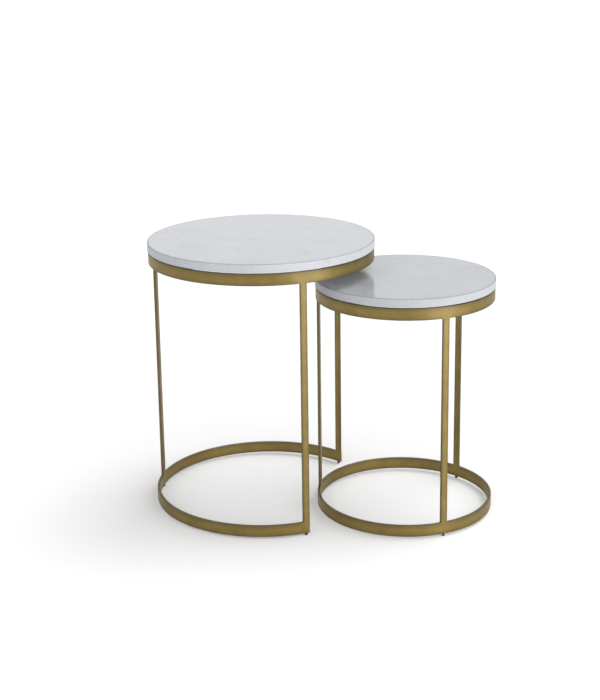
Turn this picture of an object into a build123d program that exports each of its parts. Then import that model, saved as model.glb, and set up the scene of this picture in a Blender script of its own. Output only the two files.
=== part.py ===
from build123d import *

import os
from math import cos, radians, sin, sqrt

# Nest of two round side tables: stone tops on flat-bar frames.
# Millimetres, +Z up. The origin is on the floor, in the middle of the pair's footprint.
# +X is the way the small table slides out from under the large one.

# Overall sizes of the large table
large_top_diameter = 500.0
large_height = 605.0

# How the small table nests
nest_headroom = 29.0          # small top to the underside of the large hoop
pass_clearance = 3.5          # each side, between the small top and the large table's end legs
pull_out = 319.0              # centre to centre with the small table drawn out, as stored

# Stone tops
marble_thickness = 18.0
marble_top_arris = 1.5        # rounded upper edge
marble_bottom_arris = 0.8     # rounded lower edge
marble_overhang = 1.0         # stone beyond the hoop, all round

# Flat bars of the frames
bar_thickness = 6.0           # hoops, bases and legs
hoop_bar_height = 26.0
base_bar_height = 26.0
bar_edge_radius = 1.0         # eased free edges of hoops and bases
leg_width = 15.0
weld_radius = 2.0             # dressed weld at each end of a leg
weld_toe = 1.3                # reach of that weld along the bar
end_leg_angle = 57.0          # degrees from the slide's axis to each front leg; the third stands at the rear

# Tabs that carry the stone, welded inside the hoop
tab_length = 30.0
tab_width = 24.0
tab_thickness = 4.0
tab_corner_radius = 6.0
screw_inset = 12.0            # screw axis from the tab's inner end

# Soft pads, screws and bonded inserts
pad_thickness = 2.0
pad_diameter = 18.0
screw_diameter = 5.0
screw_head_diameter = 9.5
screw_head_height = 3.2
drive_diameter = 3.0
drive_depth = 1.6
screw_hole_clearance = 0.25   # radial, in tab and pad
insert_wall = 1.5
insert_length = 11.0
screw_tip_gap = 1.0           # screw end to the insert's closed end
thread_clearance = 0.05       # radial, screw in insert
bond_gap = 0.1                # adhesive round the insert

# Glides under the legs
glide_diameter = 6.0
glide_height = 5.0
glide_edge_radius = 0.8
stem_diameter = 3.0
stem_length = 8.0
stem_clearance = 0.05         # radial, stem in base bar

# Legs and tabs by the side of the table they stand on
LEG_ANGLES = {"rear": 180.0, "left": end_leg_angle, "right": -end_leg_angle}
rear_tab_angle = (180.0 + end_leg_angle) / 2
TAB_ANGLES = {"front": 0.0, "left": rear_tab_angle, "right": -rear_tab_angle}


def hoop_outer(top_radius):
    """Outer radius of hoop and base under a top of this radius."""
    return top_radius - marble_overhang


def leg_outer(top_radius):
    """Distance of a leg's outer face from the axis: the weld toes end on the hoop's outer edge."""
    return sqrt(hoop_outer(top_radius) ** 2 - (leg_width / 2 + weld_toe) ** 2)


def end_leg_half_way(top_radius):
    """Half the clear way between the two end legs, below the welds under the hoop."""
    inner = leg_outer(top_radius) - bar_thickness
    return inner * sin(radians(end_leg_angle)) - leg_width / 2 * cos(radians(end_leg_angle))


# Sizes and places worked out from the ones above
large_radius = large_top_diameter / 2
large_hoop_bottom = large_height - marble_thickness - pad_thickness - hoop_bar_height
small_radius = end_leg_half_way(large_radius) - pass_clearance
small_height = large_hoop_bottom - nest_headroom
total_length = large_radius + pull_out + small_radius
large_x = large_radius - total_length / 2
small_x = large_x + pull_out


def turned(angle, shape):
    """A shape made at angle 0, on +X, turned to its place round the table's axis."""
    return Rot(0, 0, angle) * shape


def one_per_tab(piece):
    """A group of separate solids: the piece made at angle 0, repeated at every tab."""
    return Compound([turned(angle, piece).solid() for angle in TAB_ANGLES.values()])


def marble_top(radius, height):
    """Stone disc with eased edges and a blind hole over each tab."""
    bottom = height - marble_thickness
    hole_radius = screw_diameter / 2 + thread_clearance + insert_wall + bond_gap
    hole = Pos(screw_radius(radius), 0, 0) * extrude(Circle(hole_radius), insert_length + bond_gap)
    disc = extrude(Circle(radius), marble_thickness) - [turned(angle, hole) for angle in TAB_ANGLES.values()]
    rims = disc.edges().filter_by(GeomType.CIRCLE).sort_by(SortBy.RADIUS)[-2:].sort_by(Axis.Z)
    disc = fillet(rims[0], marble_bottom_arris)
    rims = disc.edges().filter_by(GeomType.CIRCLE).sort_by(SortBy.RADIUS)[-2:].sort_by(Axis.Z)
    disc = fillet(rims[-1], marble_top_arris)
    return Pos(0, 0, bottom) * disc


def screw_radius(radius):
    """Distance of the screws from the table's axis."""
    return hoop_outer(radius) - bar_thickness - tab_length + screw_inset


def bar_ring(radius, bottom, bar_height, free_edges_up):
    """Flat bar on edge, rolled into a ring, with the edges away from the legs eased."""
    outer = hoop_outer(radius)
    ring = Pos(0, 0, bottom) * extrude(Circle(outer) - Circle(outer - bar_thickness), bar_height)
    rims = ring.edges().filter_by(GeomType.CIRCLE).sort_by(Axis.Z)
    return fillet(rims[-2:] if free_edges_up else rims[:2], bar_edge_radius)


def glide_holes(radius):
    """Blind holes in the base bar's lower edge, one under each leg."""
    axis_radius = hoop_outer(radius) - bar_thickness / 2
    hole = extrude(Circle(stem_diameter / 2 + stem_clearance), stem_length + stem_clearance)
    return [turned(angle, Pos(axis_radius, 0, glide_height) * hole) for angle in LEG_ANGLES.values()]


def base_ring(radius):
    """Closed base of the small table."""
    ring = bar_ring(radius, glide_height, base_bar_height, free_edges_up=False)
    for hole in glide_holes(radius):
        ring -= hole
    return ring


def base_arc(radius):
    """Open base of the large table: it ends flush with the outer sides of the two end legs."""
    apex = leg_width / 2 / sin(radians(end_leg_angle))
    reach = 4 * radius
    across = reach * sin(radians(end_leg_angle))
    along = apex + reach * cos(radians(end_leg_angle))
    mouth = extrude(Polygon((apex, 0), (along, -across), (along, across), align=None), large_height)
    return base_ring(radius) - mouth


def leg(radius, length, bottom, straight_foot_side):
    """Flat bar with a dressed weld at its ends; at an arc's end the foot is straight on the open side."""
    blank = Rectangle(leg_width + 2 * weld_toe, length)
    for side in (-1, 1):
        overrun = 2 * weld_radius if side == straight_foot_side else 0
        side_cut = SlotOverall(length + overrun, 2 * weld_radius, rotation=90)
        blank -= Pos(side * (leg_width / 2 + weld_radius), -overrun / 2) * side_cut
    bar = extrude(Plane.YZ * blank, bar_thickness)
    return Pos(leg_outer(radius) - bar_thickness, 0, bottom + length / 2) * bar


def tab(radius, top):
    """Plate inside the hoop with rounded inner corners and a screw hole."""
    hoop_inner = hoop_outer(radius) - bar_thickness
    inner_end = hoop_inner - tab_length
    plate = Pos(inner_end, 0) * Rectangle(2 * tab_length, tab_width, align=(Align.MIN, Align.CENTER))
    plate = fillet(plate.vertices().group_by(Axis.X)[0], tab_corner_radius)
    plate = plate & Circle(hoop_inner)
    plate -= Pos(screw_radius(radius), 0) * Circle(screw_diameter / 2 + screw_hole_clearance)
    return Pos(0, 0, top - tab_thickness) * extrude(plate, tab_thickness)


def pad(radius, bottom):
    """Soft washer between tab and stone."""
    washer = Circle(pad_diameter / 2) - Circle(screw_diameter / 2 + screw_hole_clearance)
    return Pos(screw_radius(radius), 0, bottom) * extrude(washer, pad_thickness)


def insert(radius, bottom):
    """Threaded bush, closed at its upper end, flush with the stone's underside."""
    bore = screw_diameter / 2 + thread_clearance
    bush = extrude(Circle(bore + insert_wall), insert_length)
    bush -= extrude(Circle(bore), insert_length - insert_wall)
    return Pos(screw_radius(radius), 0, bottom) * bush


def screw(radius, tab_bottom):
    """Pan-head screw with a hexagon socket, head under the tab."""
    reach = tab_thickness + pad_thickness + insert_length - insert_wall - screw_tip_gap
    head = extrude(Circle(screw_head_diameter / 2), -screw_head_height)
    head = fillet(head.edges().filter_by(GeomType.CIRCLE).sort_by(Axis.Z)[0], screw_head_height / 3)
    body = head + extrude(Circle(screw_diameter / 2), reach)
    socket = extrude(RegularPolygon(drive_diameter / 2, 6, major_radius=False), drive_depth)
    body -= Pos(0, 0, -screw_head_height) * socket
    return Pos(screw_radius(radius), 0, tab_bottom) * body


def glide(radius):
    """Peg foot with a stem that is pressed up into the base bar."""
    foot = extrude(Circle(glide_diameter / 2), glide_height)
    foot = fillet(foot.edges().filter_by(GeomType.CIRCLE).sort_by(Axis.Z)[0], glide_edge_radius)
    foot += Pos(0, 0, glide_height) * extrude(Circle(stem_diameter / 2), stem_length)
    return Pos(hoop_outer(radius) - bar_thickness / 2, 0, 0) * foot


def table(radius, height, open_base):
    """All pieces of one table, with its axis on Z, by their own names."""
    hoop_top = height - marble_thickness - pad_thickness
    hoop_bottom = hoop_top - hoop_bar_height
    base_top = glide_height + base_bar_height
    tab_bottom = hoop_top - tab_thickness
    pieces = {
        "marble_top": marble_top(radius, height),
        "hoop": bar_ring(radius, hoop_bottom, hoop_bar_height, free_edges_up=True),
        "base": base_arc(radius) if open_base else base_ring(radius),
    }
    foot_sides = {"rear": 0, "left": -1, "right": 1} if open_base else dict.fromkeys(LEG_ANGLES, 0)
    for side, angle in LEG_ANGLES.items():
        bar = leg(radius, hoop_bottom - base_top, base_top, foot_sides[side])
        pieces["leg_" + side] = turned(angle, bar)
        pieces["glide_" + side] = turned(angle, glide(radius))
    for side, angle in TAB_ANGLES.items():
        pieces["tab_" + side] = turned(angle, tab(radius, hoop_top))
    pieces["tab_pads"] = one_per_tab(pad(radius, hoop_top))
    pieces["top_screws"] = one_per_tab(screw(radius, tab_bottom))
    pieces["top_inserts"] = one_per_tab(insert(radius, height - marble_thickness))
    return pieces


os.makedirs("parts", exist_ok=True)
large = table(large_radius, large_height, open_base=True)
small = table(small_radius, small_height, open_base=False)
for prefix, x, pieces in (("large", large_x, large), ("small", small_x, small)):
    for name, piece in pieces.items():
        export_step(Pos(x, 0, 0) * piece, "parts/" + prefix + "_" + name + ".step")
print("small table", round(2 * small_radius, 2), "across,", small_height, "high")
print("large axis at x", round(large_x, 3), "small axis at x", round(small_x, 3))
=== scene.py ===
# %% [markdown]
# # A nest of two round side tables
# The pair is a large and a small table of one design: a polished marble slab on a hoop of flat bar, three
# flat-bar legs and a base of the same bar. The small table slides in under the large one, through the gap
# in the large table's base. The solids give every size and place, so this lesson adds only what the eye
# wants: smooth rolled surfaces, stone, satin brass, light and a camera.

# %% Load the frame
from math import atan2, cos, pi, radians, sin

import bpy
import numpy as np
from mathutils import Matrix, Vector


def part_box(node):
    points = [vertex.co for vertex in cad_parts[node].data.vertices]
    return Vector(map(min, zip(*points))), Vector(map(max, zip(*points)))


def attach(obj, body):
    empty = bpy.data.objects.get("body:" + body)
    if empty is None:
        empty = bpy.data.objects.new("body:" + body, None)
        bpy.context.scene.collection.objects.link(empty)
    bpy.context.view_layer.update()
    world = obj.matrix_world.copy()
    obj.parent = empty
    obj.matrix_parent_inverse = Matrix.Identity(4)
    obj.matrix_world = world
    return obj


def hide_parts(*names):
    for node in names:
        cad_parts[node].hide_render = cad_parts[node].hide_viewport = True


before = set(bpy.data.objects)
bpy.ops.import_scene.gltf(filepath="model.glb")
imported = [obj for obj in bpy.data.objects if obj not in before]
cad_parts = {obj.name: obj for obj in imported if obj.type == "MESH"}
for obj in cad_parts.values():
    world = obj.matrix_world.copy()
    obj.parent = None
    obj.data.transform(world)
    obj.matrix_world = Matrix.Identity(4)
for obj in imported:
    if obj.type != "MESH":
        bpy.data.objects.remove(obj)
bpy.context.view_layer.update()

MM = 0.001

# %% [markdown]
# ## Sizes come from the frame
# Each table is described by a few numbers: where its axis stands, how wide the slab and the bars are, and
# at which angles the legs stand. They could be typed in again, but then a change in the solids would
# leave the looks behind, so they are read from the boxes of the nodes. A leg's box also holds its two
# weld toes, and their reach is the one size that has to be named here.

# %% Read the sizes of both tables
WELD_TOE = 1.3 * MM


def corners_of(node):
    """Low and high corner of a node's box."""
    low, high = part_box(node)
    return np.array(low), np.array(high)


def read_table(name):
    """Sizes of one table, in metres, from the boxes of its nodes."""
    slab_low, slab_high = corners_of(name + "_marble_top")
    hoop_low, hoop_high = corners_of(name + "_hoop")
    base_low, base_high = corners_of(name + "_base")
    rear_low, rear_high = corners_of(name + "_leg_rear")
    left_low, left_high = corners_of(name + "_leg_left")
    axis = (slab_low + slab_high)[:2] / 2
    left_leg = (left_low + left_high)[:2] / 2 - axis
    end_leg_angle = atan2(left_leg[1], left_leg[0])
    return {
        "name": name,
        "body": name + "_table",
        "axis": axis,
        "slab_radius": (slab_high - slab_low)[1] / 2,
        "slab_z": (slab_low[2], slab_high[2]),
        "hoop_radius": (hoop_high - hoop_low)[1] / 2,
        "hoop_z": (hoop_low[2], hoop_high[2]),
        "base_z": (base_low[2], base_high[2]),
        "bar": (rear_high - rear_low)[0],
        "leg_width": (rear_high - rear_low)[1] - 2 * WELD_TOE,
        "leg_middle": axis[0] - (rear_low + rear_high)[0] / 2,
        "end_leg_angle": end_leg_angle,
        "leg_angles": {"rear": pi, "left": end_leg_angle, "right": -end_leg_angle},
    }


large = read_table("large")
small = read_table("small")
for table in (large, small):
    print(table["name"], "slab radius", round(table["slab_radius"], 4), "top", round(table["slab_z"][1], 4))

# %% [markdown]
# ## One helper for every surface
# Every new piece is a grid of points: rows along a path, columns round a section. The columns close on
# themselves, and the rows can close too, end in poles (single points) or end in flat caps. Blender could
# work out the shading from the facets, but a rolled bar would then show them. So the normals come from
# the formula of the shape and are given to the mesh, and the bar shades as round as the real one.


# %% Turn a grid of points into a mesh
def quad_corners(rows, columns, closed_rows):
    """Rows and columns of the corners of all quads of a grid, both as (quads, 4)."""
    last = rows if closed_rows else rows - 1
    row, column = np.meshgrid(np.arange(last), np.arange(columns), indexing="ij")
    corner_rows = np.stack([row, row + 1, row + 1, row], axis=-1).reshape(-1, 4)
    corner_columns = np.stack([column, column, column + 1, column + 1], axis=-1).reshape(-1, 4)
    return corner_rows, corner_columns


def mesh_object(name, places, fields, face_sizes, loops, loop_normals, loop_uv):
    """Object from vertex places, values per vertex, and the faces' corners one after the other."""
    mesh = bpy.data.meshes.new(name)
    mesh.vertices.add(len(places))
    mesh.vertices.foreach_set("co", places.astype(np.float32).ravel())
    mesh.loops.add(len(loops))
    mesh.loops.foreach_set("vertex_index", loops.astype(np.int32))
    mesh.polygons.add(len(face_sizes))
    starts = np.cumsum(face_sizes) - face_sizes
    mesh.polygons.foreach_set("loop_start", starts.astype(np.int32))
    mesh.uv_layers.new(name="UVMap").data.foreach_set("uv", loop_uv.astype(np.float32).ravel())
    for field, values in fields.items():
        layer = mesh.attributes.new(field, "FLOAT", "POINT")
        layer.data.foreach_set("value", values.astype(np.float32))
    mesh.update(calc_edges=True)
    mesh.validate()
    mesh.shade_smooth()
    mesh.normals_split_custom_set(loop_normals.astype(np.float32).tolist())
    piece = bpy.data.objects.new(name, mesh)
    bpy.context.scene.collection.objects.link(piece)
    return piece


def grid_object(name, points, normals, u, v, fields, closed_rows=False, poles=False, caps=()):
    """Mesh object from points[row, column]; u[row] and v[column] are lengths in metres along and round it.

    With poles, each end row is one single point. caps gives the outward normals of flat end faces.
    """
    rows, columns = points.shape[:2]
    index = np.arange(rows * columns).reshape(rows, columns)
    if poles:
        index[0] = index[0, 0]
        index[-1] = index[-1, 0]
    corner_rows, corner_columns = quad_corners(rows, columns, closed_rows)
    corners = index[corner_rows % rows, corner_columns % columns]
    # A quad at a pole has two corners in one point, and one of them is left out.
    keep = np.ones(corners.shape, dtype=bool)
    keep[:, 1] = corners[:, 1] != corners[:, 2]
    keep[:, 3] = corners[:, 3] != corners[:, 0]
    face_sizes = keep.sum(axis=1)
    loops = corners[keep]
    loop_normals = normals[corner_rows % rows, corner_columns % columns][keep]
    loop_uv = np.stack([u[corner_rows], v[corner_columns]], axis=-1)[keep]
    places = points.reshape(-1, 3)
    for end, cap_normal in enumerate(caps):
        ring = index[-1][::-1] if end else index[0]
        across = np.hypot(*(places[ring] - places[ring[0]])[:, :2].T)
        face_sizes = np.append(face_sizes, len(ring))
        loops = np.concatenate([loops, ring])
        loop_normals = np.concatenate([loop_normals, np.tile(cap_normal, (len(ring), 1))])
        loop_uv = np.concatenate([loop_uv, np.stack([across, places[ring, 2]], axis=-1)])
    used, loops = np.unique(loops, return_inverse=True)
    spread = {key: np.broadcast_to(values, (rows, columns)).ravel()[used] for key, values in fields.items()}
    return mesh_object(name, places[used], spread, face_sizes, loops, loop_normals, loop_uv)


def dress(piece, node, table, material):
    """The piece stands for its solid, moves with its table and takes its finish."""
    piece.data.materials.append(material)
    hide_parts(node)
    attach(piece, table["body"])


# %% [markdown]
# ## Sections with eased corners
# Flat bar is never knife-edged: its corners are rubbed round before plating, and that thin round is what
# catches the light. A Bevel modifier could round them on the finished bar. Here the round is in the
# section itself, a rectangle with quarter circles at its corners, because then each point also knows what
# it is: on an edge, in a rounded corner or on a broad face. The broad faces carry a few more points, so
# that a painted shade can fade in from the edges.

# %% Section of a flat bar
# The edge field is painted shade: darker towards a bar's edges and on its narrow faces.
EDGE_FADE = np.array([0.15, 0.65])     # parts of the way from a rounded corner to the middle of a broad face
FADE_SHADE = np.array([0.65, 0.0])     # how much of the edge's shade is left at these places


def eased_rectangle(width, height, radius, steps=4):
    """Closed section: quarter circles of this radius about the four inner corners, joined by flats.

    Gives points, outward normals, the length walked so far, which has one more entry to close the loop, and
    fields: edge, the mask of the painted shade, is 1 on the narrow faces and fades to 0 on the broad ones,
    rub is 1 in the rounded corners.
    """
    turn = np.linspace(0, pi / 2, steps + 1)
    reach = (height / 2 - radius) * (1 - EDGE_FADE)
    fade = np.concatenate([FADE_SHADE, FADE_SHADE[::-1]])
    up = np.stack([np.full(len(fade), width / 2), np.concatenate([-reach, reach[::-1]])], axis=-1)
    points, angles, edge = [], [], []
    for quarter, (side, end) in enumerate(((1, 1), (-1, 1), (-1, -1), (1, -1))):
        angle = quarter * pi / 2 + turn
        centre = np.array([side * (width / 2 - radius), end * (height / 2 - radius)])
        points.append(centre + radius * np.stack([np.cos(angle), np.sin(angle)], axis=-1))
        angles.append(angle)
        edge.append(np.ones_like(angle))
        if quarter % 2:
            points.append(up * side)
            angles.append(np.full(len(fade), (quarter + 1) * pi / 2))
            edge.append(fade)
    points, angles, edge = np.concatenate(points), np.concatenate(angles), np.concatenate(edge)
    normals = np.stack([np.cos(angles), np.sin(angles)], axis=-1)
    step = np.roll(points, -1, axis=0) - points
    walked = np.concatenate([[0], np.cumsum(np.hypot(step[:, 0], step[:, 1]))])
    return points, normals, walked, {"edge": edge, "rub": np.abs(np.sin(2 * angles))}


# %% [markdown]
# ## Colour and node helpers
# Colours are written as the sRGB hex values that a paint chart or an eyedropper shows, and one function
# turns them into the linear values that the renderer works with. One more function adds a shader node,
# sets it and links it, so that a material reads as a short list of steps.


# %% Colour and node helpers
def srgb(code):
    """Linear red, green, blue and alpha of a hex colour."""
    channels = np.array([int(code[i:i + 2], 16) for i in (1, 3, 5)]) / 255
    linear = np.where(channels <= 0.04045, channels / 12.92, ((channels + 0.055) / 1.055) ** 2.4)
    return (*linear.tolist(), 1.0)


def add(tree, kind, links=None, inputs=None, stops=(), **settings):
    """A node of this kind with its settings, input values, links into its inputs and stops of a ramp."""
    node = tree.nodes.new(kind)
    for key, value in settings.items():
        setattr(node, key, value)
    for key, value in (inputs or {}).items():
        node.inputs[key].default_value = value
    for key, source in (links or {}).items():
        tree.links.new(source, node.inputs[key])
    for number, (position, code) in enumerate(stops):
        elements = node.color_ramp.elements
        element = elements[number] if number < len(elements) else elements.new(position)
        element.position = position
        element.color = srgb(code)
    return node


def new_material(name):
    """A material, its node tree and its principled shader."""
    material = bpy.data.materials.new(name)
    material.use_nodes = True
    tree = material.node_tree
    return material, tree, tree.nodes["Principled BSDF"]


# %% [markdown]
# ## Marble: clouds and streaks
# The slabs are a cool white marble of the plain kind. Its ground is soft grey clouds a hand wide, with
# faint short streaks along the old bedding of the rock. A picture of marble could be laid over the top,
# but it would stop at the rim. A solid pattern, read from Object coordinates, goes through the stone, and
# what meets the rim carries on down the edge as it does in sawn stone.

# %% Marble: clouds and streaks
CLOUD_SIZE = 120 * MM
CLOUD_STOPS = (0.30, 0.50, 0.72)
STREAK_SIZE = (30 * MM, 6 * MM, 30 * MM)


def clouded_ground(tree, place, tones):
    """Noise of the clouds, noise of the streaks, and the ground's colour from both."""
    clouds = add(
        tree, "ShaderNodeTexNoise", {"Vector": place},
        {"Scale": 1 / CLOUD_SIZE, "Detail": 5.0, "Roughness": 0.55, "Distortion": 0.6},
    ).outputs["Fac"]
    ground = add(
        tree, "ShaderNodeValToRGB", {"Fac": clouds}, stops=list(zip(CLOUD_STOPS, tones)),
    ).outputs["Color"]
    streak_scale = tuple(1 / size for size in STREAK_SIZE)
    bedding = add(tree, "ShaderNodeMapping", {"Vector": place}, {"Scale": streak_scale}).outputs["Vector"]
    streaks = add(
        tree, "ShaderNodeTexNoise", {"Vector": bedding}, {"Scale": 1.0, "Detail": 4.0, "Roughness": 0.6},
    ).outputs["Fac"]
    faint = add(
        tree, "ShaderNodeMapRange", {"Value": streaks},
        {"From Min": 0.60, "From Max": 0.78, "To Min": 0.0, "To Max": 0.35}, interpolation_type="SMOOTHSTEP",
    ).outputs["Result"]
    streaked = add(
        tree, "ShaderNodeMix", {"Factor": faint, "A": ground}, {"B": srgb("#abafb5")}, data_type="RGBA",
    ).outputs["Result"]
    return clouds, streaks, streaked


print("clouds", CLOUD_SIZE, "m wide, streaks", STREAK_SIZE[0], "m long")

# %% [markdown]
# ## Marble: veins and healed cracks
# A few grey veins wander through the stone where other minerals seeped in, and short hairlines are cracks
# that healed. A vein is drawn where a broad noise passes its middle value, which gives long lines without
# ends, and a hairline where two cells of a Voronoi pattern meet. Both are bent by the same noise and fade
# out in places, because a line that never stops looks drawn.

# %% Marble: veins and healed cracks
VEIN_SPACING = 170 * MM
VEIN_WANDER = 40 * MM
WANDER_SIZE = 160 * MM
HAIRLINE_SPACING = 55 * MM
HAIRLINE_WIDTH = 2.0 * MM    # healed cracks are a few tenths wide, too fine to show


def wandering_veins(tree, place, clouds, ground):
    """The bent place that lines follow, and the ground's colour with veins on it."""
    wander = add(
        tree, "ShaderNodeTexNoise", {"Vector": place},
        {"Scale": 1 / WANDER_SIZE, "Detail": 4.0, "Roughness": 0.5},
    ).outputs["Color"]
    bent = add(
        tree, "ShaderNodeVectorMath", {0: wander, 2: place},
        {1: (VEIN_WANDER, VEIN_WANDER, VEIN_WANDER)}, operation="MULTIPLY_ADD",
    ).outputs["Vector"]
    ridges = add(
        tree, "ShaderNodeTexNoise", {"Vector": bent},
        {"Scale": 1 / VEIN_SPACING, "Detail": 3.0, "Roughness": 0.45},
    ).outputs["Fac"]
    centre_line = add(tree, "ShaderNodeMath", {0: ridges}, {1: 0.5}, operation="SUBTRACT").outputs["Value"]
    distance = add(tree, "ShaderNodeMath", {0: centre_line}, operation="ABSOLUTE").outputs["Value"]
    vein = add(
        tree, "ShaderNodeMapRange", {"Value": distance},
        {"From Min": 0.0, "From Max": 0.020, "To Min": 0.15, "To Max": 0.0}, interpolation_type="SMOOTHSTEP",
    ).outputs["Result"]
    fade = add(
        tree, "ShaderNodeMapRange", {"Value": clouds}, {"From Min": 0.45, "From Max": 0.65},
        interpolation_type="SMOOTHSTEP",
    ).outputs["Result"]
    strength = add(tree, "ShaderNodeMath", {0: vein, 1: fade}, operation="MULTIPLY").outputs["Value"]
    veined = add(
        tree, "ShaderNodeMix", {"Factor": strength, "A": ground}, {"B": srgb("#9a9fa6")}, data_type="RGBA",
    ).outputs["Result"]
    return bent, veined


def healed_cracks(tree, bent, streaks, ground):
    """The ground's colour with hairlines along the edges of bent cells, where the streaks let them show."""
    cells = add(
        tree, "ShaderNodeTexVoronoi", {"Vector": bent}, {"Scale": 1 / HAIRLINE_SPACING},
        feature="DISTANCE_TO_EDGE",
    ).outputs["Distance"]
    hairline = add(
        tree, "ShaderNodeMapRange", {"Value": cells},
        {"From Min": 0.0, "From Max": HAIRLINE_WIDTH / HAIRLINE_SPACING, "To Min": 0.25, "To Max": 0.0},
    ).outputs["Result"]
    gaps = add(
        tree, "ShaderNodeMapRange", {"Value": streaks}, {"From Min": 0.48, "From Max": 0.64},
        interpolation_type="SMOOTHSTEP",
    ).outputs["Result"]
    marks = add(tree, "ShaderNodeMath", {0: hairline, 1: gaps}, operation="MULTIPLY").outputs["Value"]
    return add(
        tree, "ShaderNodeMix", {"Factor": marks, "A": ground}, {"B": srgb("#7f858d")}, data_type="RGBA",
    ).outputs["Result"]


print("veins", VEIN_SPACING, "m apart, healed cracks", HAIRLINE_SPACING, "m apart")

# %% [markdown]
# ## Marble: polish
# Polishing leaves a smooth surface with a clear reflection, so the roughness is low and the bump tiny.
# Crystals of a millimetre or so vary both colour and gloss a little. The rim is only honed, so it mirrors
# less sharply, and the upper arris is eased by hand with a stone and not polished after, which leaves a
# thin duller line round the top. That line is also painted darker, as painted shade on the arris. The
# slab's mesh says where rim and arris are, in two attributes. The small slab is a greyer copy of the same
# marble, and its darker tone is painted shade.

# %% Marble: polish
BLOCK_TURN = (0.5, 0.35, 0.7)    # radians; slabs are seldom sawn along the bedding
CRYSTAL_SIZE = 2.2 * MM          # the real grain is about half as wide, too fine to show


def polished_marble(name, tones):
    """White marble, cool and clouded: a clear polish on top, a honed rim and a dull line on the arris that
    also carries painted shade.
    """
    material, tree, shader = new_material(name)
    place = add(tree, "ShaderNodeTexCoord").outputs["Object"]
    turned = add(tree, "ShaderNodeMapping", {"Vector": place}, {"Rotation": BLOCK_TURN}).outputs["Vector"]
    clouds, streaks, ground = clouded_ground(tree, turned, tones)
    bent, veined = wandering_veins(tree, turned, clouds, ground)
    marked = healed_cracks(tree, bent, streaks, veined)
    crystals = add(
        tree, "ShaderNodeTexVoronoi", {"Vector": turned}, {"Scale": 1 / CRYSTAL_SIZE}, feature="F1",
    ).outputs["Color"]
    grain = add(tree, "ShaderNodeSeparateColor", {"Color": crystals}).outputs["Red"]
    sparkle = add(
        tree, "ShaderNodeMapRange", {"Value": grain}, {"To Min": 0.97, "To Max": 1.03},
    ).outputs["Result"]
    arris = add(tree, "ShaderNodeAttribute", attribute_name="arris").outputs["Fac"]
    # Painted shade: the colour of the upper arris is darkened.
    painted_arris_shade = add(
        tree, "ShaderNodeMapRange", {"Value": arris}, {"To Min": 1.0, "To Max": 0.62},
    ).outputs["Result"]
    shade = add(tree, "ShaderNodeMath", {0: sparkle, 1: painted_arris_shade}, operation="MULTIPLY").outputs["Value"]
    stone = add(tree, "ShaderNodeVectorMath", {0: marked, "Scale": shade}, operation="SCALE")
    tree.links.new(stone.outputs["Vector"], shader.inputs["Base Color"])
    polish = add(
        tree, "ShaderNodeMapRange", {"Value": grain}, {"To Min": 0.10, "To Max": 0.15},
    ).outputs["Result"]
    duller_line = add(
        tree, "ShaderNodeMath", {0: arris, 2: polish}, {1: 0.25}, operation="MULTIPLY_ADD",
    ).outputs["Value"]
    rim = add(tree, "ShaderNodeAttribute", attribute_name="rim").outputs["Fac"]
    gloss = add(tree, "ShaderNodeMath", {0: rim, 2: duller_line}, {1: 0.40}, operation="MULTIPLY_ADD")
    tree.links.new(gloss.outputs["Value"], shader.inputs["Roughness"])
    relief = add(tree, "ShaderNodeBump", {"Height": clouds}, {"Strength": 0.05, "Distance": 0.3 * MM})
    tree.links.new(relief.outputs["Normal"], shader.inputs["Normal"])
    shader.inputs["IOR"].default_value = 1.52
    return material


large_marble = polished_marble("polished_white_marble", ("#b4b7bc", "#b9bcc1", "#bcbfc4"))
# The small slab's greyer tones are painted shade on the same marble.
small_marble = polished_marble("polished_white_marble_painted_darker", ("#aaadb2", "#afb2b7", "#b3b6bb"))
print("marbles", large_marble.name, "and", small_marble.name)

# %% [markdown]
# ## Antique brass
# The frames are mild steel bar, brushed along its length, brass plated, darkened and lacquered. Brushing
# leaves fine streaks along the bar, darkening leaves warm brown clouds, and handling rubs the corners
# bright. The broad faces are painted darker towards their edges and the narrow faces darker still, and
# this is painted shade. The clear lacquer is a thin coat that adds a whitish sheen over the metal's own
# colour. The shader's Anisotropic setting could stretch the highlights, but it draws no marks. So the
# streaks are a stretched noise that follows the bar on its own UV map, where one unit is one metre.

# %% Antique brass
STREAK_LENGTH = 60 * MM
STREAK_WIDTH = 1.1 * MM      # real brush marks are a third of this, too fine to show
PATINA_SIZE = 35 * MM


def brushed_tone(tree, track, place):
    """Noise of the brush marks along the track, noise of the patina, and the brass's colour from both."""
    streak_scale = (1 / STREAK_LENGTH, 1 / STREAK_WIDTH, 1 / STREAK_WIDTH)
    stretched = add(tree, "ShaderNodeMapping", {"Vector": track}, {"Scale": streak_scale}).outputs["Vector"]
    streaks = add(
        tree, "ShaderNodeTexNoise", {"Vector": stretched}, {"Scale": 1.0, "Detail": 3.0, "Roughness": 0.6},
    ).outputs["Fac"]
    patina = add(
        tree, "ShaderNodeTexNoise", {"Vector": place},
        {"Scale": 1 / PATINA_SIZE, "Detail": 4.0, "Roughness": 0.55},
    ).outputs["Fac"]
    blotches = add(
        tree, "ShaderNodeMath", {0: streaks, 2: patina}, {1: 0.6}, operation="MULTIPLY_ADD",
    ).outputs["Value"]
    tone = add(
        tree, "ShaderNodeValToRGB", {"Fac": blotches},
        stops=[(0.55, "#796631"), (0.80, "#826f37"), (1.0, "#8a773d")],
    ).outputs["Color"]
    return streaks, patina, tone


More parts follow.
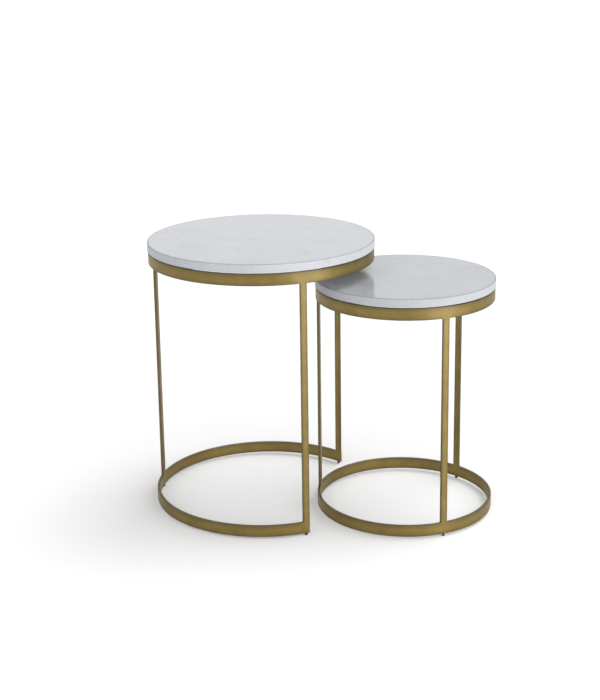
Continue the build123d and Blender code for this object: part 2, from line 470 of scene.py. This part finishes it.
def antique_brass(name, along_bar):
    """Satin brass with brown clouds, edges darkened as painted shade and corners rubbed bright in places,
    under lacquer.
    """
    material, tree, shader = new_material(name)
    coordinates = add(tree, "ShaderNodeTexCoord")
    place = coordinates.outputs["Object"]
    track = coordinates.outputs["UV"] if along_bar else place
    streaks, patina, tone = brushed_tone(tree, track, place)
    # Painted shade: edges, rounded corners and narrow faces are mixed towards a dark brown.
    edge = add(tree, "ShaderNodeAttribute", attribute_name="edge").outputs["Fac"]
    painted_edge_shade = add(tree, "ShaderNodeMath", {0: edge}, {1: 0.75}, operation="MULTIPLY").outputs["Value"]
    shaded = add(
        tree, "ShaderNodeMix", {"Factor": painted_edge_shade, "A": tone}, {"B": srgb("#5a4f3a")}, data_type="RGBA",
    ).outputs["Result"]
    rub = add(tree, "ShaderNodeAttribute", attribute_name="rub").outputs["Fac"]
    wear = add(
        tree, "ShaderNodeMapRange", {"Value": patina},
        {"From Min": 0.50, "From Max": 0.70, "To Min": 0.0, "To Max": 0.7}, interpolation_type="SMOOTHSTEP",
    ).outputs["Result"]
    worn = add(tree, "ShaderNodeMath", {0: rub, 1: wear}, operation="MULTIPLY").outputs["Value"]
    bright = add(
        tree, "ShaderNodeMix", {"Factor": worn, "A": shaded}, {"B": srgb("#97834f")}, data_type="RGBA",
    ).outputs["Result"]
    tree.links.new(bright, shader.inputs["Base Color"])
    gloss = add(tree, "ShaderNodeMapRange", {"Value": streaks}, {"To Min": 0.50, "To Max": 0.60})
    tree.links.new(gloss.outputs["Result"], shader.inputs["Roughness"])
    relief = add(tree, "ShaderNodeBump", {"Height": streaks}, {"Strength": 0.12, "Distance": 0.05 * MM})
    tree.links.new(relief.outputs["Normal"], shader.inputs["Normal"])
    shader.inputs["Metallic"].default_value = 1.0
    shader.inputs["Specular Tint"].default_value = srgb("#c8c4b8")
    shader.inputs["Coat Weight"].default_value = 0.5
    shader.inputs["Coat Roughness"].default_value = 0.3
    shader.inputs["Coat IOR"].default_value = 1.5
    return material


brass = antique_brass("brushed_antique_brass", along_bar=True)
tab_brass = antique_brass("antique_brass_tab", along_bar=False)
print("brass", brass.name, "and", tab_brass.name)

# %% [markdown]
# ## Small parts
# Under the tops and feet are small parts that show only from low down: black moulded glides, milky
# silicone washers, zinc-plated screws and turned brass inserts. Each could have a material of its own
# making, but they are a few millimetres wide. So one function gives all of them a plain finish with soft
# patches, as moulding, plating and turning leave them.

# %% Finishes of the small parts
GLOSS_SPREAD = 0.08


def small_finish(name, dark, light, patch_size, metallic, roughness):
    """A finish with soft patches between two colours and the same patches in its roughness."""
    material, tree, shader = new_material(name)
    place = add(tree, "ShaderNodeTexCoord").outputs["Object"]
    patches = add(
        tree, "ShaderNodeTexNoise", {"Vector": place}, {"Scale": 1 / patch_size, "Detail": 3.0},
    ).outputs["Fac"]
    colour = add(tree, "ShaderNodeValToRGB", {"Fac": patches}, stops=[(0.3, dark), (0.7, light)])
    tree.links.new(colour.outputs["Color"], shader.inputs["Base Color"])
    gloss = add(
        tree, "ShaderNodeMapRange", {"Value": patches},
        {"To Min": roughness - GLOSS_SPREAD, "To Max": roughness + GLOSS_SPREAD},
    )
    tree.links.new(gloss.outputs["Result"], shader.inputs["Roughness"])
    shader.inputs["Metallic"].default_value = metallic
    return material


glide_plastic = small_finish("moulded_black_plastic", "#17171a", "#232327", 1.5 * MM, 0.0, 0.45)
silicone = small_finish("milky_silicone", "#c3c9cb", "#d6dbdc", 4 * MM, 0.0, 0.35)
zinc = small_finish("zinc_plated_steel", "#8f9296", "#b4b6b8", 2 * MM, 1.0, 0.35)
turned_brass = small_finish("turned_brass", "#b08d46", "#c9a75c", 2 * MM, 1.0, 0.3)
print("small parts", ", ".join(finish.name for finish in (glide_plastic, silicone, zinc, turned_brass)))

# %% [markdown]
# ## Slabs
# A slab is sawn round, honed on its rim and eased at both arrises. It could be a cylinder with a Bevel
# modifier. A profile turned about the table's axis gives each arris its own radius, and its points can
# carry the two attributes that the marble reads. The profile runs from the middle of the underside out to
# the lower arris, up the rim, round the upper arris and back to the middle of the top. Both middles are
# poles.

# %% Slabs
SLAB_TOP_ARRIS = 1.5 * MM
SLAB_BOTTOM_ARRIS = 0.8 * MM
ARRIS_FADE = 2.5 * MM        # from the upper arris into the polished top


def slab(table, segments=192, arris_steps=6):
    """Surface of revolution: an (r, z) profile with quarter circles at both arrises, turned once round.

    Fields: arris is 1 on the upper arris, and rim is the outward part of the normal, which is 1 on the rim.
    """
    radius = table["slab_radius"]
    low, high = table["slab_z"]
    lower = np.linspace(-pi / 2, 0, arris_steps + 1)
    upper = np.linspace(0, pi / 2, arris_steps + 1)
    low_r = radius - SLAB_BOTTOM_ARRIS * (1 - np.cos(lower))
    low_z = low + SLAB_BOTTOM_ARRIS * (1 + np.sin(lower))
    high_r = radius - SLAB_TOP_ARRIS * (1 - np.cos(upper))
    high_z = high - SLAB_TOP_ARRIS * (1 - np.sin(upper))
    tilt = np.concatenate([[-pi / 2], lower, upper, [pi / 2, pi / 2]])
    r = np.concatenate([[0], low_r, high_r, [high_r[-1] - ARRIS_FADE, 0]])
    z = np.concatenate([[low], low_z, high_z, [high, high]])
    # The arris field both dulls the arris and carries its painted shade.
    dull_and_shaded_arris = np.concatenate([np.zeros(len(lower) + 1), np.minimum(2 * np.sin(upper), 1), [0, 0]])
    turn = np.arange(segments) / segments * 2 * pi
    points = np.empty((len(r), segments, 3))
    points[..., 0] = table["axis"][0] + r[:, None] * np.cos(turn)
    points[..., 1] = table["axis"][1] + r[:, None] * np.sin(turn)
    points[..., 2] = z[:, None]
    normals = np.empty_like(points)
    normals[..., 0] = np.cos(tilt)[:, None] * np.cos(turn)
    normals[..., 1] = np.cos(tilt)[:, None] * np.sin(turn)
    normals[..., 2] = np.sin(tilt)[:, None]
    walked = np.concatenate([[0], np.cumsum(np.hypot(np.diff(r), np.diff(z)))])
    girth = np.append(turn, 2 * pi) * radius
    fields = {"arris": dull_and_shaded_arris[:, None], "rim": np.cos(tilt)[:, None]}
    # Rows run up the profile and columns turn left, so the order of columns is reversed to face outwards.
    name = table["name"] + "_slab"
    return grid_object(name, points[:, ::-1], normals[:, ::-1], walked, girth, fields, poles=True)


for table, marble in ((large, large_marble), (small, small_marble)):
    stone = slab(table)
    dress(stone, table["name"] + "_marble_top", table, marble)
    print(stone.name, "of", len(stone.data.polygons), "faces")

# %% [markdown]
# ## Hoops and bases
# The bars are rolled on edge into rings. A curve with a bevel profile could draw them. A section carried
# round a circle in numpy keeps the cut ends exact and lays the UV map along the bar for the brush marks.
# The large table's base is the same sweep stopped short, so that the small table can come in. Its two cut
# ends are flush with the outer sides of the end legs: a cut parallel to a leg's middle line and half a
# leg beside it crosses a circle of radius r at asin(half leg / r) from that line. Where a leg is welded
# on, the joint is dressed flush and brushed with the bar, and the bar's painted edge shade stops there.

# %% Rolled bars
BAR_ARRIS = 1.0 * MM
# The painted shade on a bar's edge comes back over this length beside a leg.
JOINT_FADE = 5 * MM      # over which a bar's dark edge comes back beside a leg


def rolled_bar(table, name, heights, leg_edge, opening=None, segments=480):
    """Section swept round the axis: point = axis + (radius + a) (cos t, sin t), height + b.

    With an opening, t runs from its one side through the rear to its other side, at each radius its own t.
    leg_edge is 1 when the legs meet the upper edge and -1 when they meet the lower one.
    """
    low, high = heights
    section, section_normals, walked, fields = eased_rectangle(table["bar"], high - low, BAR_ARRIS)
    radius = table["hoop_radius"] - table["bar"] / 2 + section[:, 0]
    caps = ()
    if opening is None:
        rows = segments
        turn = np.broadcast_to(np.arange(rows)[:, None] / rows * 2 * pi, (rows, len(radius)))
    else:
        rows = segments + 1
        side = table["end_leg_angle"]
        start = side - np.arcsin(opening / radius)
        turn = start + np.linspace(0, 1, rows)[:, None] * (2 * pi - 2 * start)
        caps = ((sin(side), -cos(side), 0), (sin(side), cos(side), 0))
    points = np.empty((rows, len(radius), 3))
    points[..., 0] = table["axis"][0] + radius * np.cos(turn)
    points[..., 1] = table["axis"][1] + radius * np.sin(turn)
    points[..., 2] = (low + high) / 2 + section[:, 1]
    normals = np.empty_like(points)
    normals[..., 0] = section_normals[:, 0] * np.cos(turn)
    normals[..., 1] = section_normals[:, 0] * np.sin(turn)
    normals[..., 2] = section_normals[:, 1]
    along = np.append(turn[:, 0], turn[0, 0] + 2 * pi) * table["hoop_radius"]
    legs = np.array(list(table["leg_angles"].values()))
    from_middle = np.abs((turn[..., None] - legs + pi) % (2 * pi) - pi).min(axis=-1) * radius
    beside = np.clip((from_middle - table["leg_width"] / 2) / JOINT_FADE, 0, 1)
    # Beside a leg, the painted edge shade and the rubbed corners fade out on the side the leg meets.
    away_from_legs = np.where(section[:, 1] * leg_edge > 0, beside, 1)
    fields = {key: values * away_from_legs for key, values in fields.items()}
    return grid_object(name, points, normals, along, walked, fields, closed_rows=opening is None, caps=caps)


for table in (large, small):
    hoop = rolled_bar(table, table["name"] + "_rolled_hoop", table["hoop_z"], -1)
    dress(hoop, table["name"] + "_hoop", table, brass)
    cut = table["leg_width"] / 2 if table is large else None
    base = rolled_bar(table, table["name"] + "_rolled_base", table["base_z"], 1, cut)
    dress(base, table["name"] + "_base", table, brass)
    print(table["name"], "hoop and base of", len(hoop.data.polygons) + len(base.data.polygons), "faces")

# %% [markdown]
# ## Legs
# Each leg is a length of narrower flat bar, butt-welded under the hoop and on the base and dressed with a
# file, which leaves a small hollow fillet at both sides of each end. A plain box would meet the bars in
# hard corners. So the section is carried down the leg, keeps its thickness and grows wider near its ends,
# along a quarter circle that stops at the weld's toe. At the two cut ends of the large base there is
# nothing to weld to on the open side, and there the leg's side runs straight down. The ends sink a little
# into the bars, so that no gap shows at the joints.

# %% Legs with dressed welds
WELD_RADIUS = 2.0 * MM
SINK = 0.45 * MM         # of a leg's ends into hoop and base
OPEN_SIDE = {"rear": 0, "left": -1, "right": 1}    # the side of a leg where the large base ends


def weld_flare(distance):
    """How much wider a side is at this distance from the end: radius - sqrt(radius^2 - (radius - d)^2)."""
    inside = np.clip(WELD_RADIUS - distance, 0, WELD_RADIUS)
    return np.minimum(WELD_TOE, WELD_RADIUS - np.sqrt(WELD_RADIUS**2 - inside**2))


def flat_leg(table, side, straight_foot_side, weld_steps=9):
    """Eased section swept down: point = axis + (middle + a) radial + (b + flare) tangent, at height z."""
    top, foot = table["hoop_z"][0], table["base_z"][1]
    near_end = WELD_RADIUS * np.linspace(0, 1, weld_steps) ** 2
    height = np.concatenate([[top + SINK], top - near_end, (foot + near_end)[::-1], [foot - SINK]])
    section, section_normals, walked, fields = eased_rectangle(table["bar"], table["leg_width"], BAR_ARRIS)
    top_flare = weld_flare(np.maximum(top - height, 0))
    foot_flare = weld_flare(np.maximum(height - foot, 0))
    sign = np.sign(section[:, 1])
    has_foot = np.where(sign == straight_foot_side, 0.0, 1.0)
    flare = top_flare[:, None] + foot_flare[:, None] * has_foot
    across = section[:, 1] + sign * flare
    slope = np.gradient(flare, height, axis=0)
    angle = table["leg_angles"][side]
    radial = np.array([cos(angle), sin(angle)])
    tangent = np.array([-sin(angle), cos(angle)])
    points = np.empty((len(height), len(section), 3))
    outward = table["leg_middle"] + section[:, 0]
    points[..., :2] = table["axis"] + outward[:, None] * radial + across[..., None] * tangent
    points[..., 2] = height[:, None]
    normals = np.empty_like(points)
    normals[..., :2] = section_normals[:, :1] * radial + section_normals[:, 1:] * tangent
    normals[..., 2] = -slope * np.abs(section_normals[:, 1])
    normals /= np.linalg.norm(normals, axis=-1, keepdims=True)
    caps = ((0, 0, 1), (0, 0, -1))
    name = table["name"] + "_flat_leg_" + side
    return grid_object(name, points, normals, top - height, walked, fields, caps=caps)


for table in (large, small):
    for side in table["leg_angles"]:
        leg = flat_leg(table, side, OPEN_SIDE[side] if table is large else 0)
        dress(leg, table["name"] + "_leg_" + side, table, brass)
    print(table["name"], "legs", round(table["leg_width"], 4), "wide")

# %% [markdown]
# ## Solids that stay
# The tabs, washers, screws, inserts and glides are small and already have their shape in the solids.
# Nothing would be gained by making them again, so they only get their finishes.

# %% Finishes on the solids
SOLID_FINISHES = {
    "_tab_front": tab_brass,
    "_tab_left": tab_brass,
    "_tab_right": tab_brass,
    "_tab_pads": silicone,
    "_top_screws": zinc,
    "_top_inserts": turned_brass,
    "_glide_rear": glide_plastic,
    "_glide_left": glide_plastic,
    "_glide_right": glide_plastic,
}
for table in (large, small):
    for ending, material in SOLID_FINISHES.items():
        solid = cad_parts[table["name"] + ending]
        solid.data.materials.clear()
        solid.data.materials.append(material)
print("finished solids", 2 * len(SOLID_FINISHES))

# %% [markdown]
# ## Floor and backdrop
# The tables stand on a white studio floor that runs out of sight and takes their soft shadows. A floor as
# white as it looks would also throw much light up at the tables, and their shaded sides would lose their
# depth. So the paint is pure white where it is seen or mirrored, and a pale grey for the light that
# bounces off it.

# %% Floor
FLOOR_HALF = 30.0


def seen_or_mirrored(tree):
    """1 for rays from the camera, from a mirroring surface or through a clear one, and 0 for all others."""
    path = add(tree, "ShaderNodeLightPath")
    seen = path.outputs["Is Camera Ray"]
    for kind in ("Is Glossy Ray", "Is Transmission Ray"):
        either = add(tree, "ShaderNodeMath", {0: seen, 1: path.outputs[kind]}, operation="MAXIMUM")
        seen = either.outputs["Value"]
    return seen


def white_floor():
    """A flat square; its finish is a matt white paint."""
    material, tree, shader = new_material("matt_white_studio_floor")
    paint = add(
        tree, "ShaderNodeMix", {"Factor": seen_or_mirrored(tree)},
        {"A": srgb("#d0d0d0"), "B": srgb("#ffffff")}, data_type="RGBA",
    ).outputs["Result"]
    tree.links.new(paint, shader.inputs["Base Color"])
    shader.inputs["Roughness"].default_value = 1.0
    shader.inputs["Specular IOR Level"].default_value = 0.0
    edge = np.array([-FLOOR_HALF, FLOOR_HALF])
    x, y = np.meshgrid(edge, edge)
    corners = np.stack([x, y, np.zeros_like(x)], axis=-1).reshape(-1, 3)
    mesh = bpy.data.meshes.new("studio_floor")
    mesh.from_pydata(corners, [], [(0, 1, 3, 2)])
    mesh.materials.append(material)
    floor = bpy.data.objects.new("studio_floor", mesh)
    bpy.context.scene.collection.objects.link(floor)


white_floor()
print("floor", FLOOR_HALF * 2, "m square")

# %% [markdown]
# ## Light
# The tables stand in a tent of white cloth, lit from outside. Its front and right side glow, and the
# other walls and the ceiling only faintly, so the left sides of slabs stay duller. Five big area lamps
# could do this, but they would show in the brass, so the tent is the world itself: the brass mirrors
# white cloth all round. A broad light high at the rear right throws soft shadows of the tops on the
# floor, towards the front and left. One long soft box, low at the right, puts the bright streak on the
# bars beside the front legs.

# %% World and lamps
# Right, left, front, rear and ceiling: the axis, the side of it and the light of that wall
TENT_WALLS = (("X", 1, 1.30), ("X", -1, 0.20), ("Y", -1, 1.47), ("Y", 1, 0.30), ("Z", 1, 0.25))


def white_tent():
    """White where it is seen or mirrored; as a lamp, each wall's light times the cosine to that wall."""
    world = bpy.data.worlds.new("studio_tent")
    bpy.context.scene.world = world
    world.use_nodes = True
    tree = world.node_tree
    tree.nodes.clear()
    direction = add(tree, "ShaderNodeTexCoord").outputs["Generated"]
    cosines = add(tree, "ShaderNodeSeparateXYZ", {"Vector": direction})
    walls = [
        add(tree, "ShaderNodeMapRange", {"Value": cosines.outputs[axis]}, {"From Max": side, "To Max": light})
        for axis, side, light in TENT_WALLS
    ]
    glow = walls[0].outputs["Result"]
    for wall in walls[1:]:
        both = add(tree, "ShaderNodeMath", {0: glow, 1: wall.outputs["Result"]}, operation="ADD")
        glow = both.outputs["Value"]
    strength = add(
        tree, "ShaderNodeMix", {"Factor": seen_or_mirrored(tree), "A": glow}, {"B": 1.0}, data_type="FLOAT",
    ).outputs["Result"]
    cloth = add(tree, "ShaderNodeBackground", {"Strength": strength}, {"Color": srgb("#ffffff")})
    add(tree, "ShaderNodeOutputWorld", {"Surface": cloth.outputs["Background"]})


def hang(name, lamp, place, target):
    """The lamp at a place, facing a target and out of the camera's sight."""
    holder = bpy.data.objects.new(name, lamp)
    aim = Vector(target) - Vector(place)
    holder.matrix_world = Matrix.Translation(place) @ aim.to_track_quat("-Z", "Y").to_matrix().to_4x4()
    holder.visible_camera = False
    bpy.context.scene.collection.objects.link(holder)


def high_light(name, place, target, strength, spread):
    """A distant lamp in the direction of its place, as wide in the sky as the spread."""
    lamp = bpy.data.lights.new(name, "SUN")
    lamp.energy = strength
    lamp.angle = spread
    hang(name, lamp, place, target)


def soft_box(name, place, target, size, power):
    """A rectangular area lamp of this width and height."""
    lamp = bpy.data.lights.new(name, "AREA")
    lamp.shape = "RECTANGLE"
    lamp.size, lamp.size_y = size
    lamp.energy = power
    hang(name, lamp, place, target)


white_tent()
high_light("rear_ceiling_light", (0.9, 0.9, 2.8), (0.0, 0.0, 0.0), strength=0.83, spread=radians(34))
soft_box("right_soft_box", (2.5, -1.6, 0.22), (0.0, 0.0, 0.22), size=(1.6, 0.4), power=26)
print("tent of", len(TENT_WALLS), "walls and", len(bpy.data.lights), "lamps")

# %% [markdown]
# ## Camera
# The camera stands a little above the tops and looks down at them. Its place and lens were found by
# matching the outlines of tops, hoops and bases. The lens is shifted down a little, so that the camera
# tilts less and the legs stay nearly upright, as with a view camera.

# %% Camera
CAMERA_PLACE = (0.5374, -2.8921, 1.2763)
CAMERA_HEADING = radians(101.412)
CAMERA_PITCH = 0.25373     # radians, downwards
CAMERA_ROLL = -0.01388     # radians
PICTURE_HEIGHT = 700       # pixels, the longer side
FOCAL_PIXELS = 1381.43
SENSOR_SIZE = 36.0         # millimetres, along the longer side
LENS_SHIFT = -0.1          # parts of the longer side; minus is down


def studio_camera():
    """Axes of the view: forward from heading and pitch, right and up turned about it by the roll."""
    ahead = np.array([cos(CAMERA_HEADING), sin(CAMERA_HEADING), 0.0])
    forward = ahead * cos(CAMERA_PITCH) - np.array([0.0, 0.0, sin(CAMERA_PITCH)])
    level = np.array([sin(CAMERA_HEADING), -cos(CAMERA_HEADING), 0.0])
    upright = np.cross(level, forward)
    right = cos(CAMERA_ROLL) * level + sin(CAMERA_ROLL) * upright
    up = cos(CAMERA_ROLL) * upright - sin(CAMERA_ROLL) * level
    lens = bpy.data.cameras.new("studio_camera")
    lens.sensor_width = SENSOR_SIZE
    lens.lens = FOCAL_PIXELS / PICTURE_HEIGHT * SENSOR_SIZE
    lens.shift_y = LENS_SHIFT
    camera = bpy.data.objects.new("studio_camera", lens)
    turn = Matrix(np.stack([right, up, -forward], axis=1).tolist()).to_4x4()
    camera.matrix_world = Matrix.Translation(CAMERA_PLACE) @ turn
    bpy.context.scene.collection.objects.link(camera)
    bpy.context.scene.camera = camera
    return camera


camera = studio_camera()
bpy.context.scene.view_settings.view_transform = "Standard"
print("lens", round(camera.data.lens, 2), "mm")
